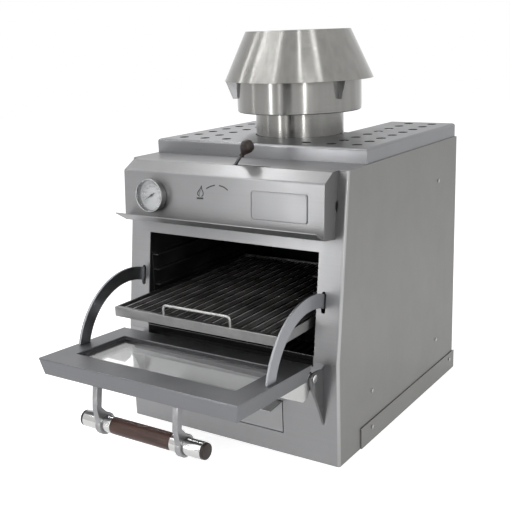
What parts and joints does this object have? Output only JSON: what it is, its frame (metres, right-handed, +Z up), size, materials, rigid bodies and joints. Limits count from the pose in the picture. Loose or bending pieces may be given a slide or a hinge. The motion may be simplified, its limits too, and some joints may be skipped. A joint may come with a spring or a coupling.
{
  "type": "charcoal oven",
  "caption": "Charcoal oven with a drop-down windowed door on stays, a sliding V-bar rack, a fire tray on a slotted grate, an ash drawer, a damper lever, a thermometer and a capped flue.",
  "frame": {"origin": "centre of the casing's footprint, on the floor", "axes": "+X to the right of someone facing the door, +Y towards the back, +Z up; the door opens towards -Y"},
  "size_m": [0.5304, 0.895, 0.829],
  "materials": {
    "casing_steel": "satin brushed stainless sheet",
    "cast_iron": "cast iron, burnt dark",
    "clear_glass": "clear heat proof glass",
    "dark_wood": "oiled dark brown wood",
    "dial_card": "pale satin enamel",
    "door_steel": "brushed stainless sheet, darker inside",
    "drawer_steel": "brushed stainless sheet",
    "insulation": "mineral fibre board",
    "lever_steel": "heat darkened steel",
    "needle_paint": "matt black enamel",
    "plain_steel": "plain rolled steel sheet",
    "polished_steel": "polished stainless steel",
    "screw_steel": "plain steel",
    "seal": "woven heat seal",
    "sooty_steel": "heat blackened steel"
  },
  "bodies": {
    "oven": {"ash_drawer_runners": "plain_steel", "back_insulation": "insulation", "back_panel": "casing_steel", "base_pan": "plain_steel", "casing_screws": "screw_steel", "chamber_liner": "sooty_steel", "charcoal_grate": "cast_iron", "cowl_brackets": "polished_steel", "cowl_cone": "polished_steel", "damper_guides": "plain_steel", "fire_tray": "sooty_steel", "flue_collar": "polished_steel", "flue_pipe": "polished_steel", "front_frame": "casing_steel", "gauge_case": "polished_steel", "gauge_dial": "dial_card", "gauge_lens": "clear_glass", "gauge_stem": "polished_steel", "hinge_pins": "polished_steel", "hood": "casing_steel", "left_hinge_fin": "polished_steel", "left_insulation": "insulation", "left_rack_guide": "sooty_steel", "left_side_panel": "casing_steel", "left_side_rail": "casing_steel", "lower_front_panel": "casing_steel", "nameplate": "casing_steel", "right_hinge_fin": "polished_steel", "right_insulation": "insulation", "right_rack_guide": "sooty_steel", "right_side_panel": "casing_steel", "right_side_rail": "casing_steel", "top_cover": "casing_steel", "top_insulation": "insulation", "top_shelf": "casing_steel"},
    "door": {"door_gasket": "seal", "door_glass": "clear_glass", "door_glass_frame": "sooty_steel", "door_inner_panel": "door_steel", "door_outer_shell": "door_steel", "handle_core": "polished_steel", "handle_end_caps": "dark_wood", "handle_grip": "dark_wood", "handle_sleeves": "polished_steel", "left_door_stay": "door_steel", "left_handle_bracket": "polished_steel", "left_hinge_arm": "polished_steel", "right_door_stay": "door_steel", "right_handle_bracket": "polished_steel", "right_hinge_arm": "polished_steel"},
    "rack": {"rack_frame": "drawer_steel", "rack_bars": "sooty_steel", "rack_cross_bars": "sooty_steel", "rack_handle": "polished_steel"},
    "ash_drawer": {"ash_drawer_front": "drawer_steel", "ash_drawer_box": "drawer_steel"},
    "damper": {"damper_plate": "plain_steel", "damper_lever": "lever_steel", "damper_knob": "dark_wood"},
    "needle": {"gauge_needle": "needle_paint"}
  },
  "joints": [
    {"name": "door_hinge", "type": "hinge", "parent": "oven", "child": "door", "pos_m": [0, -0.336, 0.194], "axis": [-1, 0, 0], "range_deg": [0, 94.4]},
    {"name": "rack_slide", "type": "slide", "parent": "oven", "child": "rack", "axis": [0, 1, 0], "range_m": [0, 0.125]},
    {"name": "ash_drawer_slide", "type": "slide", "parent": "oven", "child": "ash_drawer", "axis": [0, -1, 0], "range_m": [0, 0.18]},
    {"name": "damper_slide", "type": "slide", "parent": "oven", "child": "damper", "axis": [1, 0, 0], "range_m": [0, 0.073]},
    {"name": "gauge_needle_turn", "type": "hinge", "parent": "oven", "child": "needle", "pos_m": [-0.16, -0.3054, 0.5109], "axis": [0, 0.9983, -0.0583], "range_deg": [-15, 255]}
  ],
  "couplings": [
    {"joint": "rack_slide", "follows": "door_hinge", "m_per_rad": 0.07585}
  ]
}
